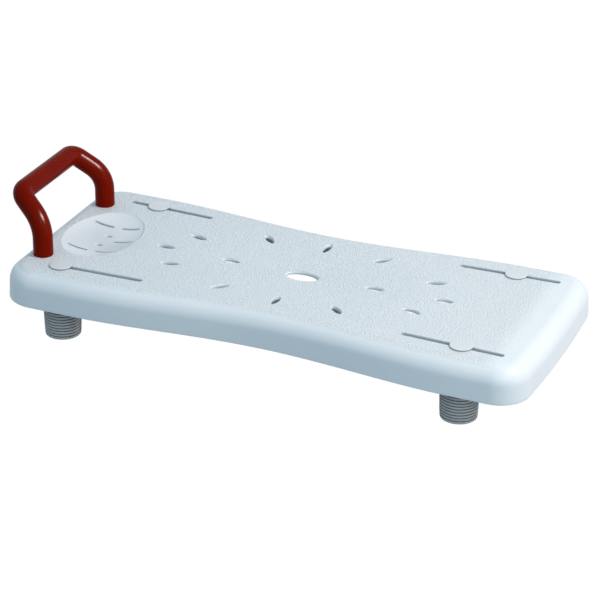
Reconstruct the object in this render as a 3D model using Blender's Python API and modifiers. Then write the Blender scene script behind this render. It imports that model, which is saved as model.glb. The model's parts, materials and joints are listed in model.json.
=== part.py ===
"""A bath bench: a waisted moulded board that lies across a bath, with an oval seat hollow, drain
holes, a soap dish, a grab handle, and four stops that slide along slots and screw tight from below.

Lengths are in metres, with +X away from the handle, +Y to the back and +Z up. The origin is on the
floor, under the middle of the whole bench. Positions on the board are measured from the middle of
its drain holes, at the level of its flat top.
"""

import math

import bmesh
import bpy
from mathutils import Matrix, Vector

MM = 0.001
GAP = 0.3 * MM
MERGE = 0.01 * MM
SMOOTH_BELOW = math.radians(40)

# Board
BOARD_LEFT = -350.0 * MM
BOARD_RIGHT = 340.0 * MM
HALF_WIDTH = 149.3 * MM
WAIST_HALF_WIDTH = 130.7 * MM
WAIST_REACH = 258.0 * MM
END_CROWN = 5.8 * MM
LEFT_CORNER = 45.0 * MM
RIGHT_CORNER = 40.0 * MM
SKIRT_DEPTH = 44.0 * MM
SKIRT_DRAFT = 1.0 * MM
SKIRT_LIP = 4.0 * MM
TOP_ROUNDING = 22.0 * MM
WALL = 4.0 * MM
END_STEPS = 2
CORNER_STEPS = 5
SIDE_STEPS = 11
ROUNDING_STEPS = 4

# Seat hollow
SEAT_HALF_LENGTH = 192.0 * MM
SEAT_HALF_WIDTH = 115.0 * MM
SEAT_HOLLOW_DEPTH = 4.7 * MM
SEAT_RINGS = (0.80, 0.60, 0.40, 0.20)

# Drain holes, set in rays round a larger one
DRAIN_HALF_LENGTH = 12.5 * MM
DRAIN_HALF_WIDTH = 4.8 * MM
DRAIN_CHAMFER = 1.6 * MM
DRAIN_MIDDLES = (
    (187.0 * MM, 0.0),
    (161.0 * MM, 42.2 * MM),
    (76.8 * MM, 74.7 * MM),
    (96.3 * MM, 0.0),
)
CROSS_DRAIN_Y = 80.2 * MM
CENTRE_HOLE_HALF_LENGTH = 22.0 * MM
CENTRE_HOLE_HALF_WIDTH = 12.0 * MM

# Soap dish
DISH_X = -276.5 * MM
DISH_HALF_LENGTH = 47.5 * MM
DISH_HALF_WIDTH = 69.0 * MM
DISH_DEPTH = 9.0 * MM
DISH_SHARES = (1.06, 0.94, 0.81, 0.64, 0.38)
SLIT_WIDTH = 4.0 * MM
SLIT_Y = 37.4 * MM
SLIT_SPANS = ((-309.0 * MM, -280.0 * MM), (-270.0 * MM, -243.0 * MM))
MIDDLE_SLIT_SPAN = (-263.0 * MM, -236.0 * MM)
DISH_HOLE_X = -275.8 * MM
DISH_HOLE_Y = 13.7 * MM
DISH_HOLE_SIZE = (11.0 * MM, 6.0 * MM)

# Stiffening ribs under the board
RIB_THICKNESS = 2.6 * MM
RIB_DEPTH = 20.0 * MM
RIB_SINK = 2.0 * MM
LONG_RIB_Y = 57.0 * MM
CROSS_RIB_X = (42.0 * MM, 125.0 * MM)
RIB_STEPS = 5

# Stops: a cap and a T-headed stud, a clamp washer, a core with its nut, and a rubber sleeve
STUD_DIAMETER = 6.0 * MM
SLOT_WIDTH = STUD_DIAMETER + 2 * GAP
SLOT_YAW = math.radians(2.0)
SLOT_INNER_X = 170.5 * MM
SLOT_EDGE_DISTANCE = 47.6 * MM
SLOT_OUTER_X = {"left": 289.8 * MM, "right": 301.1 * MM}
RAIL_THICKNESS = 4.0 * MM
RAIL_DEPTH = 24.0 * MM
STOP_X = {
    "front_left": -280.9 * MM,
    "back_left": -248.5 * MM,
    "front_right": 247.8 * MM,
    "back_right": 244.7 * MM,
}
CAP_DIAMETER = 28.4 * MM
CAP_RIM = 1.3 * MM
CAP_DOME = 0.9 * MM
HEAD_LENGTH = 16.0 * MM
HEAD_WIDTH = 6.0 * MM
HEAD_THICKNESS = 0.8 * MM
KEY_REACH = 7.0 * MM
KEY_DEPTH = 3.5 * MM
CLAMP_DIAMETER = 22.0 * MM
CLAMP_THICKNESS = 1.2 * MM
SEAT_HEIGHT = 92.5 * MM
PAD_THICKNESS = 4.2 * MM
FLANGE_DIAMETER = 42.0 * MM
FLANGE_THICKNESS = 3.0 * MM
HUB_DIAMETER = 25.0 * MM
STUD_LENGTH = 51.0 * MM
STUD_ROOM = 5.0 * MM
NUT_ACROSS_FLATS = 10.0 * MM
NUT_THICKNESS = 5.0 * MM
RIB_PITCH = 4.0 * MM
GROOVE_DEPTH = 1.2 * MM
GROOVE_COUNT = 12
SLEEVE_BOTTOM_DIAMETER = 45.1 * MM
SLEEVE_LOW_DIAMETER = 46.5 * MM
SLEEVE_TOP_DIAMETER = 48.4 * MM
SLEEVE_LOW_HEIGHT = 12.0 * MM
SLEEVE_EDGE = 1.5 * MM

# Grab handle
HANDLE_DIAMETER = 25.5 * MM
GRIP_DIAMETER = 27.0 * MM
LEG_X = -317.5 * MM
LEG_Y = 83.8 * MM
LEG_BEND_Z = 42.0 * MM
LEG_BEND_RADIUS = 38.0 * MM
GRIP_X = -355.2 * MM
GRIP_Y = 68.7 * MM
GRIP_Z = 72.9 * MM
GRIP_BEND_RADIUS = 16.0 * MM
BEND_STEPS = 5
TENON_DIAMETER = 18.0 * MM
TENON_LENGTH = 17.0 * MM
SOCKET_WALL = 3.5 * MM
SOCKET_FLOOR = 3.0 * MM
SOCKET_STEPS = 20
SCREW_DIAMETER = 4.5 * MM
SCREW_LENGTH = 16.0 * MM
SCREW_HEAD_DIAMETER = 9.5 * MM
SCREW_HEAD_HEIGHT = 3.0 * MM
SCREW_SLOT_WIDTH = 1.2 * MM
SCREW_SLOT_DEPTH = 1.6 * MM
WASHER_DIAMETER = 14.0 * MM
WASHER_THICKNESS = 1.2 * MM

# The handle reaches past the left end, so the middle of the bench isn't the middle of the drain holes
HANDLE_REACH = GRIP_X - GRIP_DIAMETER / 2
CENTRE_X = -(BOARD_RIGHT + HANDLE_REACH) / 2

# Heights under the board's flat top, from the slot rails down to the core
CLAMP_TOP = -(RAIL_DEPTH + GAP)
CORE_TOP = CLAMP_TOP - CLAMP_THICKNESS - GAP
SLEEVE_TOP = CORE_TOP - FLANGE_THICKNESS - GAP
CORE_BOTTOM = -SEAT_HEIGHT + PAD_THICKNESS + GAP


def board_point(x, y, z):
    """A position on the board, in the bench's own frame."""
    return Vector((x + CENTRE_X, y, z + SEAT_HEIGHT))


def new_object(name, data, collection):
    """An object for a mesh or a curve, linked to one of the two collections."""
    made = bpy.data.objects.new(name, data)
    collection.objects.link(made)
    if collection is cutters:
        made.hide_render = True
        made.display_type = "WIRE"
    return made


def as_mesh(source, collection):
    """A plain mesh object in place of a curve or of an object with modifiers."""
    depsgraph = bpy.context.evaluated_depsgraph_get()
    mesh = bpy.data.meshes.new_from_object(source.evaluated_get(depsgraph))
    work = bmesh.new()
    work.from_mesh(mesh)
    bmesh.ops.remove_doubles(work, verts=work.verts, dist=MERGE)
    work.to_mesh(mesh)
    work.free()
    mesh.shade_smooth()
    mesh.set_sharp_from_angle(angle=SMOOTH_BELOW)
    name = source.name
    place = source.matrix_world.copy()
    bpy.data.objects.remove(source)
    made = new_object(name, mesh, collection)
    made.matrix_world = place
    return made


def turned(name, profile, steps, collection):
    """A shape turned round Z from radius and height pairs that run down its outer side."""
    last = len(profile) - 1
    edges = [(step, step + 1) for step in range(last)]
    if profile[0][0] > 0 and profile[last][0] > 0:
        edges.append((last, 0))
    mesh = bpy.data.meshes.new(name)
    mesh.from_pydata([(radius, 0, height) for radius, height in profile], edges, [])
    made = new_object(name, mesh, collection)
    screw = made.modifiers.new("turn", "SCREW")
    screw.steps = steps
    screw.render_steps = steps
    screw.use_merge_vertices = True
    screw.merge_threshold = MERGE
    return as_mesh(made, collection)


def extruded(name, outline, bottom, top, collection):
    """A flat outline in X and Y, raised from one height to another."""
    curve = bpy.data.curves.new(name, "CURVE")
    curve.dimensions = "2D"
    curve.fill_mode = "BOTH"
    curve.extrude = (top - bottom) / 2
    spline = curve.splines.new("POLY")
    spline.points.add(len(outline) - 1)
    for point, (x, y) in zip(spline.points, outline):
        point.co = (x, y, 0, 1)
    spline.use_cyclic_u = True
    made = as_mesh(new_object(name, curve, collection), collection)
    made.data.transform(Matrix.Translation((0, 0, (top + bottom) / 2)))
    return made


def box(name, size, middle, collection):
    """A block of a given size about its middle."""
    mesh = bpy.data.meshes.new(name)
    work = bmesh.new()
    bmesh.ops.create_cube(work, size=1)
    bmesh.ops.scale(work, vec=size, verts=work.verts)
    bmesh.ops.translate(work, vec=middle, verts=work.verts)
    work.to_mesh(mesh)
    work.free()
    return new_object(name, mesh, collection)


def change(target, tool, operation):
    """Joins a shape to a piece, or cuts it out of the piece."""
    modifier = target.modifiers.new(tool.name, "BOOLEAN")
    modifier.operation = operation
    modifier.solver = "EXACT"
    modifier.object = tool


def stadium(start, end, radius, steps):
    """A straight slot's outline, with round ends at its two extreme points."""
    outline = []
    for tip, turn in ((end - radius, -math.pi / 2), (start + radius, math.pi / 2)):
        for step in range(steps + 1):
            angle = turn + math.pi * step / steps
            outline.append((tip + radius * math.cos(angle), radius * math.sin(angle)))
    return outline


def arc(start, end, steps):
    """Evenly spaced angles from one to another, both ends included."""
    return [start + (end - start) * step / steps for step in range(steps + 1)]


# Board shell


def half_width(x):
    """Half of the board's width at x: it narrows smoothly to the waist."""
    if abs(x) > WAIST_REACH:
        return HALF_WIDTH
    swell = (1 + math.cos(math.pi * x / WAIST_REACH)) / 2
    return HALF_WIDTH - (HALF_WIDTH - WAIST_HALF_WIDTH) * swell


def side_slope(x):
    """How fast the half width changes along X."""
    if abs(x) > WAIST_REACH:
        return 0.0
    wave = math.pi / WAIST_REACH
    return (HALF_WIDTH - WAIST_HALF_WIDTH) * wave * math.sin(wave * x) / 2


def end_circle():
    """The radius that crowns the right end."""
    return (HALF_WIDTH**2 + END_CROWN**2) / (2 * END_CROWN)


def right_end(y):
    """Where the crowned right end lies at y."""
    return BOARD_RIGHT - end_circle() + math.sqrt(end_circle() ** 2 - y**2)


def half_outline():
    """Points and outward directions round the back half of the board, from the right end to the left."""
    end_radius = end_circle()
    end_middle = BOARD_RIGHT - end_radius
    corner_y = HALF_WIDTH - RIGHT_CORNER
    corner_reach = math.sqrt((end_radius - RIGHT_CORNER) ** 2 - corner_y**2)
    right_x = end_middle + corner_reach
    swing = math.atan2(corner_y, corner_reach)
    left_x = BOARD_LEFT + LEFT_CORNER
    left_y = HALF_WIDTH - LEFT_CORNER
    rows = []
    for angle in arc(0, swing, END_STEPS)[:-1]:
        outward = Vector((math.cos(angle), math.sin(angle)))
        rows.append((Vector((end_middle, 0)) + end_radius * outward, outward))
    for angle in arc(swing, math.pi / 2, CORNER_STEPS)[:-1]:
        outward = Vector((math.cos(angle), math.sin(angle)))
        rows.append((Vector((right_x, corner_y)) + RIGHT_CORNER * outward, outward))
    for step in range(SIDE_STEPS):
        x = right_x + (left_x - right_x) * step / SIDE_STEPS
        rows.append((Vector((x, half_width(x))), Vector((-side_slope(x), 1)).normalized()))
    for angle in arc(math.pi / 2, math.pi, CORNER_STEPS)[:-1]:
        outward = Vector((math.cos(angle), math.sin(angle)))
        rows.append((Vector((left_x, left_y)) + LEFT_CORNER * outward, outward))
    for step in range(END_STEPS + 1):
        rows.append((Vector((BOARD_LEFT, left_y * (1 - step / END_STEPS))), Vector((-1, 0))))
    return rows


def top_height(x, y):
    """Height of the top surface: flat, with the shallow oval seat hollow."""
    share = math.hypot(x / SEAT_HALF_LENGTH, y / SEAT_HALF_WIDTH)
    if share >= 1:
        return 0.0
    return -SEAT_HOLLOW_DEPTH * (1 + math.cos(math.pi * share)) / 2


def board_rings():
    """Rings of points from the skirt's lower edge, over the rounded edge, in to the seat."""
    outline = half_outline()
    rows = [(0.0, -SKIRT_DEPTH), (0.0, -SKIRT_DEPTH + SKIRT_LIP)]
    for angle in arc(0, math.pi / 2, ROUNDING_STEPS):
        inset = SKIRT_DRAFT + TOP_ROUNDING * (1 - math.cos(angle))
        rows.append((inset, -TOP_ROUNDING * (1 - math.sin(angle))))
    rings = []
    for inset, height in rows:
        edge = [point - inset * outward for point, outward in outline]
        rings.append([(point.x, max(point.y, 0.0), height) for point in edge])
    flat_edge = rings[-1]
    for share in SEAT_RINGS:
        ring = [(x * share, y * share) for x, y, height in flat_edge]
        rings.append([(x, y, top_height(x, y)) for x, y in ring])
    return rings


def board_shell():
    """The board's skin: half a loft, mirrored and thickened inwards."""
    work = bmesh.new()
    rings = [[work.verts.new(point) for point in ring] for ring in board_rings()]
    for outer, inner in zip(rings, rings[1:]):
        for step in range(len(outer) - 1):
            work.faces.new((outer[step], outer[step + 1], inner[step + 1], inner[step]))
    middle = work.verts.new((0, 0, top_height(0, 0)))
    for step in range(len(rings[-1]) - 1):
        work.faces.new((rings[-1][step], rings[-1][step + 1], middle))
    mesh = bpy.data.meshes.new("board")
    work.to_mesh(mesh)
    work.free()
    mesh.shade_smooth()
    mesh.set_sharp_from_angle(angle=SMOOTH_BELOW)
    made = new_object("board", mesh, parts)
    mirror = made.modifiers.new("mirror", "MIRROR")
    mirror.use_axis = (False, True, False)
    mirror.merge_threshold = MERGE
    shell = made.modifiers.new("wall", "SOLIDIFY")
    shell.thickness = WALL
    shell.use_even_offset = True
    return made


# What is joined to the board and cut out of it


def slot_places():
    """Each slot's name, the direction it runs from the middle outwards, and its two ends."""
    for side, across in (("front", -1), ("back", 1)):
        for end, along in (("left", -1), ("right", 1)):
            yaw = math.atan2(across * math.sin(SLOT_YAW), along * math.cos(SLOT_YAW))
            inner = Vector((along * SLOT_INNER_X, across * (HALF_WIDTH - SLOT_EDGE_DISTANCE), 0))
            length = (SLOT_OUTER_X[end] - SLOT_INNER_X) / math.cos(SLOT_YAW)
            yield side + "_" + end, yaw, inner, length


def add_slots(board):
    """Four slots, each with a rail round it for the clamp washer to bear on."""
    for name, yaw, inner, length in slot_places():
        rail_radius = SLOT_WIDTH / 2 + RAIL_THICKNESS
        rail_line = stadium(-RAIL_THICKNESS, length + RAIL_THICKNESS, rail_radius, 4)
        rail = extruded("rail_" + name, rail_line, -RAIL_DEPTH, -WALL / 2, cutters)
        slot_line = stadium(0, length, SLOT_WIDTH / 2, 4)
        slot = extruded("slot_" + name, slot_line, -2 * RAIL_DEPTH, WALL, cutters)
        for tool in (rail, slot):
            tool.matrix_world = Matrix.Translation(board_point(*inner)) @ Matrix.Rotation(yaw, 4, "Z")
        change(board, rail, "UNION")
        change(board, slot, "DIFFERENCE")


def skin_height(x, y):
    """Height of the board's skin, with its rounded edge."""
    inset = min(half_width(x) - abs(y), right_end(y) - x, x - BOARD_LEFT)
    short = max(SKIRT_DRAFT + TOP_ROUNDING - inset, 0)
    return top_height(x, y) - TOP_ROUNDING + math.sqrt(TOP_ROUNDING**2 - short**2)


def rib(name, start, end, board):
    """A stiffening rib whose top edge follows the skin, between two points in plan."""
    along = Vector(end) - Vector(start)
    bend = [TOP_ROUNDING * (1 - math.cos(angle)) for angle in arc(0, math.pi / 2, 4)]
    middle = arc(bend[-1], along.length - bend[-1], RIB_STEPS)[1:-1]
    outline = []
    for distance in bend + middle + [along.length - reach for reach in reversed(bend)]:
        point = Vector(start) + along.normalized() * distance
        outline.append((distance, skin_height(point.x, point.y) - RIB_SINK))
    outline += [(along.length, -RIB_DEPTH), (0, -RIB_DEPTH)]
    made = extruded(name, outline, -RIB_THICKNESS / 2, RIB_THICKNESS / 2, cutters)
    turn = Matrix.Rotation(math.atan2(along.y, along.x), 4, "Z") @ Matrix.Rotation(math.pi / 2, 4, "X")
    made.matrix_world = Matrix.Translation(board_point(start[0], start[1], 0)) @ turn
    change(board, made, "UNION")


def add_ribs(board):
    """Two ribs along the board and four across it, clear of every hole."""
    dish_share = LONG_RIB_Y / DISH_HALF_WIDTH
    dish_end = DISH_X + DISH_HALF_LENGTH * math.sqrt(max(1 - dish_share**2, 0))
    edge = SKIRT_DRAFT + WALL / 2
    for place in CROSS_RIB_X:
        for name, x in (("left", -place), ("right", place)):
            y = half_width(x) - edge
            rib("cross_rib_%s_%d" % (name, round(place / MM)), (x, -y), (x, y), board)
    for name, y in (("front", -LONG_RIB_Y), ("back", LONG_RIB_Y)):
        rib("long_rib_" + name, (dish_end, y), (right_end(y) - edge, y), board)


def oval(name, profile, ratio, steps, place, yaw, board, operation):
    """A turned shape squashed across its length, joined to the board or cut out of it."""
    made = turned(name, profile, steps, cutters)
    made.data.transform(Matrix.Diagonal((1, ratio, 1, 1)))
    made.matrix_world = Matrix.Translation(board_point(*place)) @ Matrix.Rotation(yaw, 4, "Z")
    change(board, made, operation)


def drain_profile(half_length):
    """A hole's outer side: open above, chamfered at the surface, straight through the wall."""
    throat = half_length - DRAIN_CHAMFER
    return [
        (0, 2 * WALL),
        (half_length + DRAIN_CHAMFER, 2 * WALL),
        (half_length + DRAIN_CHAMFER, DRAIN_CHAMFER),
        (throat, -DRAIN_CHAMFER),
        (throat, -3 * WALL),
        (0, -3 * WALL),
    ]


def add_drain_holes(board):
    """Fourteen leaf shaped holes that point at the middle, and the oval hole in the middle."""
    places = [(0, CROSS_DRAIN_Y), (0, -CROSS_DRAIN_Y)]
    for x, y in DRAIN_MIDDLES:
        for along in (-1, 1):
            for across in (-1, 1) if y else (1,):
                places.append((along * x, across * y))
    ratio = DRAIN_HALF_WIDTH / DRAIN_HALF_LENGTH
    for count, (x, y) in enumerate(places):
        place = (x, y, top_height(x, y))
        profile = drain_profile(DRAIN_HALF_LENGTH)
        oval("drain_%d" % count, profile, ratio, 12, place, math.atan2(y, x), board, "DIFFERENCE")
    ratio = CENTRE_HOLE_HALF_WIDTH / CENTRE_HOLE_HALF_LENGTH
    profile = drain_profile(CENTRE_HOLE_HALF_LENGTH)
    oval("centre_hole", profile, ratio, 20, (0, 0, top_height(0, 0)), 0, board, "DIFFERENCE")


def add_soap_dish(board):
    """A shallow oval bowl under the top wall, with slits and two small holes in its floor."""
    ratio = DISH_HALF_WIDTH / DISH_HALF_LENGTH
    place = (DISH_X, 0, 0)
    hollow = [(DISH_HALF_LENGTH * share, -DISH_DEPTH * (1 - share**4)) for share in DISH_SHARES]
    bowl = [(radius + WALL, height - WALL) for radius, height in hollow[1:]]
    rim = (DISH_HALF_LENGTH + WALL, -WALL / 2)
    floor = -DISH_DEPTH - WALL
    bowl = [(0, rim[1]), rim] + bowl + [(0, floor)]
    oval("dish_bowl", bowl, ratio, 28, place, 0, board, "UNION")
    hollow = [(0, hollow[0][1])] + hollow + [(0, -DISH_DEPTH)]
    oval("dish_hollow", hollow, ratio, 28, place, 0, board, "DIFFERENCE")
    slits = [(span, y) for span in SLIT_SPANS for y in (-SLIT_Y, SLIT_Y)] + [(MIDDLE_SLIT_SPAN, 0)]
    for count, ((start, end), y) in enumerate(slits):
        outline = stadium(start, end, SLIT_WIDTH / 2, 3)
        slit = extruded("slit_%d" % count, outline, floor - WALL, WALL, cutters)
        slit.location = board_point(0, y, 0)
        change(board, slit, "DIFFERENCE")
    length, width = DISH_HOLE_SIZE
    for name, y in (("front", -DISH_HOLE_Y), ("back", DISH_HOLE_Y)):
        hole = [(0, WALL), (length / 2, WALL), (length / 2, floor - WALL), (0, floor - WALL)]
        place = (DISH_HOLE_X, y, 0)
        oval("dish_hole_" + name, hole, width / length, 10, place, 0, board, "DIFFERENCE")


def add_handle_sockets(board):
    """A blind socket below the top for each handle leg, with a screw hole in its floor."""
    bore = TENON_DIAMETER / 2 + GAP
    floor_top = -(TENON_LENGTH + GAP)
    floor_bottom = floor_top - SOCKET_FLOOR
    screw_bore = SCREW_DIAMETER / 2 + GAP
    socket = [(0, -WALL / 2), (bore + SOCKET_WALL, -WALL / 2), (bore + SOCKET_WALL, floor_bottom)]
    socket.append((0, floor_bottom))
    hole = [(0, WALL), (bore, WALL), (bore, floor_top), (screw_bore, floor_top)]
    hole += [(screw_bore, floor_bottom - WALL), (0, floor_bottom - WALL)]
    half_facet = math.pi / SOCKET_STEPS
    for name, y in (("front", -LEG_Y), ("back", LEG_Y)):
        place = (LEG_X, y, 0)
        oval("socket_" + name, socket, 1, SOCKET_STEPS, place, 0, board, "UNION")
        oval("socket_bore_" + name, hole, 1, SOCKET_STEPS, place, half_facet, board, "DIFFERENCE")


def make_board():
    board = board_shell()
    board.location = board_point(0, 0, 0)
    add_ribs(board)
    add_handle_sockets(board)
    add_slots(board)
    add_soap_dish(board)
    add_drain_holes(board)
    return board


# Grab handle


def rounded_path(corners, radii):
    """Points along straight runs, with an arc of its own radius at each inner corner."""
    points = [corners[0]]
    for before, corner, after, radius in zip(corners, corners[1:], corners[2:], radii):
        back = (before - corner).normalized()
        ahead = (after - corner).normalized()
        half = back.angle(ahead) / 2
        middle = corner + (back + ahead).normalized() * radius / math.sin(half)
        start = (corner + back * radius / math.tan(half) - middle).normalized()
        end = (corner + ahead * radius / math.tan(half) - middle).normalized()
        for share in arc(0, 1, BEND_STEPS):
            points.append(middle + start.slerp(end, share) * radius)
    return points + [corners[-1]]


def make_handle():
    """One bent tube with a thicker grip, and a tenon with a pilot hole under each leg."""
    half = [(LEG_X, LEG_Y, GAP), (LEG_X, LEG_Y, LEG_BEND_Z), (GRIP_X, GRIP_Y, GRIP_Z)]
    corners = [Vector(point) for point in half]
    corners += [Vector((x, -y, z)) for x, y, z in reversed(half)]
    radii = (LEG_BEND_RADIUS, GRIP_BEND_RADIUS, GRIP_BEND_RADIUS, LEG_BEND_RADIUS)
    points = rounded_path(corners, radii)
    curve = bpy.data.curves.new("handle", "CURVE")
    curve.dimensions = "3D"
    curve.bevel_depth = HANDLE_DIAMETER / 2
    curve.bevel_resolution = 5
    curve.use_fill_caps = True
    spline = curve.splines.new("POLY")
    spline.points.add(len(points) - 1)
    first_grip_point = 2 * BEND_STEPS + 2
    swell = GRIP_DIAMETER / HANDLE_DIAMETER - 1
    for count, (point, place) in enumerate(zip(spline.points, points)):
        from_end = min(count, len(points) - 1 - count)
        share = min(max((from_end - BEND_STEPS - 2) / (first_grip_point - BEND_STEPS - 2), 0), 1)
        point.co = (*place, 1)
        point.radius = 1 + swell * share
    handle = as_mesh(new_object("handle", curve, parts), parts)
    handle.location = board_point(0, 0, 0)
    pilot = SCREW_DIAMETER / 2 + GAP
    pilot_top = -TENON_LENGTH + SCREW_LENGTH
    tenon = [(0, LEG_BEND_RADIUS / 4), (TENON_DIAMETER / 2, LEG_BEND_RADIUS / 4)]
    tenon += [(TENON_DIAMETER / 2, -TENON_LENGTH), (0, -TENON_LENGTH)]
    hole = [(0, pilot_top), (pilot, pilot_top), (pilot, -TENON_LENGTH - WALL)]
    hole.append((0, -TENON_LENGTH - WALL))
    for name, y in (("front", -LEG_Y), ("back", LEG_Y)):
        place = (LEG_X, y, 0)
        oval("tenon_" + name, tenon, 1, 20, place, 0, handle, "UNION")
        oval("pilot_hole_" + name, hole, 1, 12, place, 0, handle, "DIFFERENCE")
    return handle


def make_handle_fixing(name, y):
    """The washer and the pan headed screw that hold a handle leg from below."""
    floor_bottom = -(TENON_LENGTH + GAP + SOCKET_FLOOR)
    washer_top = floor_bottom - GAP
    washer_bottom = washer_top - WASHER_THICKNESS
    bore = SCREW_DIAMETER / 2 + GAP
    profile = [(bore, washer_top), (WASHER_DIAMETER / 2, washer_top)]
    profile += [(WASHER_DIAMETER / 2, washer_bottom), (bore, washer_bottom)]
    washer = turned("handle_washer_" + name, profile, 16, parts)
    head_top = washer_bottom - GAP
    head_bottom = head_top - SCREW_HEAD_HEIGHT
    tip = -TENON_LENGTH + SCREW_LENGTH - WALL
    radius = SCREW_DIAMETER / 2
    head = SCREW_HEAD_DIAMETER / 2
    profile = [(0, tip + radius), (radius, tip), (radius, head_top), (head, head_top)]
    profile += [(head, (head_top + head_bottom) / 2), (head * 0.75, head_bottom), (0, head_bottom)]
    screw = turned("handle_screw_" + name, profile, 12, parts)
    for piece in (washer, screw):
        piece.location = board_point(LEG_X, y, 0)
    for count in range(2):
        size = (SCREW_HEAD_DIAMETER * 0.55, SCREW_SLOT_WIDTH, 2 * SCREW_SLOT_DEPTH)
        recess = box("recess_%s_%d" % (name, count), size, (0, 0, head_bottom), cutters)
        recess.rotation_euler.z = count * math.pi / 2
        recess.location = screw.location
        change(screw, recess, "DIFFERENCE")
    return washer, screw


# Stops


def make_cap(name):
    """A low domed cap with two keys that hold it square in the slot, and room for the stud's head."""
    radius = CAP_DIAMETER / 2
    rim_top = GAP + CAP_RIM
    edge = CAP_RIM / 4
    profile = []
    for share in (0, 0.5, 0.85):
        profile.append((radius * share, rim_top + CAP_DOME * (1 - share**2)))
    profile += [(radius, rim_top - edge), (radius, GAP + edge), (radius - edge, GAP), (0, GAP)]
    cap = turned("cap_" + name, profile, 20, parts)
    roof = GAP + HEAD_THICKNESS + GAP
    room = (HEAD_WIDTH + 2 * GAP, HEAD_LENGTH + 2 * GAP, 2 * roof)
    key_start = STUD_DIAMETER / 2 + GAP
    for side, turn in (("inner", math.pi), ("outer", 0)):
        half_key = SLOT_WIDTH / 2 - GAP
        tip = KEY_REACH - half_key
        outline = [(key_start, half_key), (key_start, -half_key)]
        for angle in arc(-math.pi / 2, math.pi / 2, 6):
            outline.append((tip + half_key * math.cos(angle), half_key * math.sin(angle)))
        key = extruded("key_%s_%s" % (name, side), outline, -KEY_DEPTH, roof, cutters)
        key.rotation_euler.z = turn
        seat_on(key, name)
        change(cap, key, "UNION")
    recess = box("head_room_" + name, room, (0, 0, 0), cutters)
    seat_on(recess, name)
    change(cap, recess, "DIFFERENCE")
    return cap


def make_stud(name):
    """A T-headed stud: the head lies across the slot, the shank goes down into the core."""
    radius = STUD_DIAMETER / 2
    top = GAP + HEAD_THICKNESS / 2
    profile = [(0, top), (radius, top), (radius, radius - STUD_LENGTH)]
    profile += [(radius * 0.7, -STUD_LENGTH), (0, -STUD_LENGTH)]
    stud = turned("stud_" + name, profile, 12, parts)
    size = (HEAD_WIDTH, HEAD_LENGTH, HEAD_THICKNESS)
    head = box("head_" + name, size, (0, 0, GAP + HEAD_THICKNESS / 2), cutters)
    seat_on(head, name)
    change(stud, head, "UNION")
    return stud


def make_clamp_washer(name):
    """The washer that the core presses against the slot's rails."""
    bore = STUD_DIAMETER / 2 + GAP
    bottom = CLAMP_TOP - CLAMP_THICKNESS
    radius = CLAMP_DIAMETER / 2
    profile = [(bore, CLAMP_TOP), (radius, CLAMP_TOP), (radius, bottom), (bore, bottom)]
    return turned("clamp_washer_" + name, profile, 16, parts)


def hexagon(across_flats):
    """A hexagon's corners."""
    radius = across_flats / math.sqrt(3)
    return [(radius * math.cos(turn), radius * math.sin(turn)) for turn in arc(0, 5 * math.pi / 3, 5)]


def make_core(name):
    """The stiff core of a foot: a flange and a hub with a nut pocket and room for the stud."""
    bore = STUD_DIAMETER / 2 + GAP
    bore_end = -(STUD_LENGTH + STUD_ROOM)
    flange = CORE_TOP - FLANGE_THICKNESS
    profile = [(0, bore_end), (bore, bore_end), (bore, CORE_TOP), (FLANGE_DIAMETER / 2, CORE_TOP)]
    profile += [(FLANGE_DIAMETER / 2, flange), (HUB_DIAMETER / 2, flange)]
    profile += [(HUB_DIAMETER / 2, CORE_BOTTOM), (0, CORE_BOTTOM)]
    core = turned("core_" + name, profile, 16, parts)
    pocket_bottom = CORE_TOP - NUT_THICKNESS - 2 * GAP
    outline = hexagon(NUT_ACROSS_FLATS + 2 * GAP)
    pocket = extruded("nut_pocket_" + name, outline, pocket_bottom, CORE_TOP + WALL, cutters)
    seat_on(pocket, name)
    change(core, pocket, "DIFFERENCE")
    return core


def make_nut(name):
    """The nut in the core's pocket."""
    top = CORE_TOP - GAP
    bottom = top - NUT_THICKNESS
    nut = extruded("nut_" + name, hexagon(NUT_ACROSS_FLATS), bottom, top, parts)
    bore = STUD_DIAMETER / 2 + GAP
    profile = [(0, top + WALL), (bore, top + WALL), (bore, bottom - WALL), (0, bottom - WALL)]
    hole = turned("nut_bore_" + name, profile, 12, cutters)
    seat_on(hole, name)
    change(nut, hole, "DIFFERENCE")
    return nut


def sleeve_radius(height):
    """The sleeve's radius at a height above the floor, over the crests of its ribs."""
    bottom = SLEEVE_BOTTOM_DIAMETER / 2
    low = SLEEVE_LOW_DIAMETER / 2
    top = SLEEVE_TOP_DIAMETER / 2
    if height < SLEEVE_LOW_HEIGHT:
        return bottom + (low - bottom) * height / SLEEVE_LOW_HEIGHT
    rise = SEAT_HEIGHT - SKIRT_DEPTH - SLEEVE_LOW_HEIGHT
    return low + (top - low) * min((height - SLEEVE_LOW_HEIGHT) / rise, 1)


def make_sleeve(name):
    """The rubber sleeve: ribs round its side, a closed pad below and a bore for the hub."""
    bore = HUB_DIAMETER / 2 + GAP
    pad_top = CORE_BOTTOM - GAP
    top = sleeve_radius(SEAT_HEIGHT)
    profile = [(0, pad_top), (bore, pad_top), (bore, SLEEVE_TOP), (top, SLEEVE_TOP)]
    for count in reversed(range(GROOVE_COUNT)):
        crest = (count + 1.5) * RIB_PITCH
        groove = (count + 1) * RIB_PITCH
        profile.append((sleeve_radius(crest), crest - SEAT_HEIGHT))
        profile.append((sleeve_radius(groove) - GROOVE_DEPTH, groove - SEAT_HEIGHT))
    profile.append((sleeve_radius(SLEEVE_EDGE), SLEEVE_EDGE - SEAT_HEIGHT))
    profile += [(sleeve_radius(0) - SLEEVE_EDGE, -SEAT_HEIGHT), (0, -SEAT_HEIGHT)]
    return turned("sleeve_" + name, profile, 16, parts)


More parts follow.
